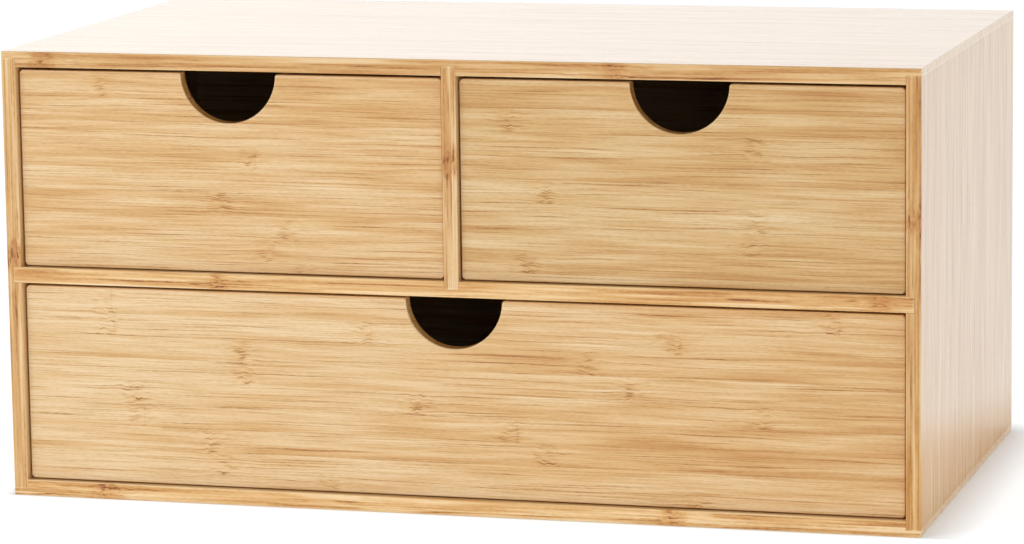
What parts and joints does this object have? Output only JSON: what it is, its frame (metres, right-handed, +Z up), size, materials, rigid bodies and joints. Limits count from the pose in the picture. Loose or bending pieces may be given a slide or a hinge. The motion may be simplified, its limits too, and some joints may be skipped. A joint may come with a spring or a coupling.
{
  "type": "desk organizer",
  "caption": "Bamboo desktop organizer: an open-fronted box with inset sliding drawers, each pulled by a half-round finger cutout in its front.",
  "frame": {"origin": "centre of the footprint, on the surface that the box stands on", "axes": "+X along the width to the viewer's right, +Y to the back, +Z up; the drawers open towards -Y"},
  "size_m": [0.35, 0.198, 0.17],
  "materials": {
    "carcass_bamboo": "satin clear lacquer on strip-laminated bamboo",
    "drawer_front_bamboo": "satin clear lacquer on strip-laminated bamboo",
    "drawer_box_bamboo": "sanded, thinly lacquered bamboo",
    "thin_bamboo_panel": "sanded thin bamboo plywood"
  },
  "bodies": {
    "carcass": {"top_board": "carcass_bamboo", "bottom_board": "carcass_bamboo", "left_side": "carcass_bamboo", "right_side": "carcass_bamboo", "middle_shelf": "carcass_bamboo", "centre_divider": "carcass_bamboo", "back_panel": "thin_bamboo_panel"},
    "upper_left_drawer": {"upper_left_front": "drawer_front_bamboo", "upper_left_left_side": "drawer_box_bamboo", "upper_left_right_side": "drawer_box_bamboo", "upper_left_back": "drawer_box_bamboo", "upper_left_bottom": "thin_bamboo_panel"},
    "upper_right_drawer": {"upper_right_front": "drawer_front_bamboo", "upper_right_left_side": "drawer_box_bamboo", "upper_right_right_side": "drawer_box_bamboo", "upper_right_back": "drawer_box_bamboo", "upper_right_bottom": "thin_bamboo_panel"},
    "lower_drawer": {"lower_front": "drawer_front_bamboo", "lower_left_side": "drawer_box_bamboo", "lower_right_side": "drawer_box_bamboo", "lower_back": "drawer_box_bamboo", "lower_bottom": "thin_bamboo_panel"}
  },
  "joints": [
    {"name": "upper_left_slide", "type": "slide", "parent": "carcass", "child": "upper_left_drawer", "axis": [0, -1, 0], "range_m": [0, 0.15]},
    {"name": "upper_right_slide", "type": "slide", "parent": "carcass", "child": "upper_right_drawer", "axis": [0, -1, 0], "range_m": [0, 0.15]},
    {"name": "lower_slide", "type": "slide", "parent": "carcass", "child": "lower_drawer", "axis": [0, -1, 0], "range_m": [0, 0.15]}
  ]
}
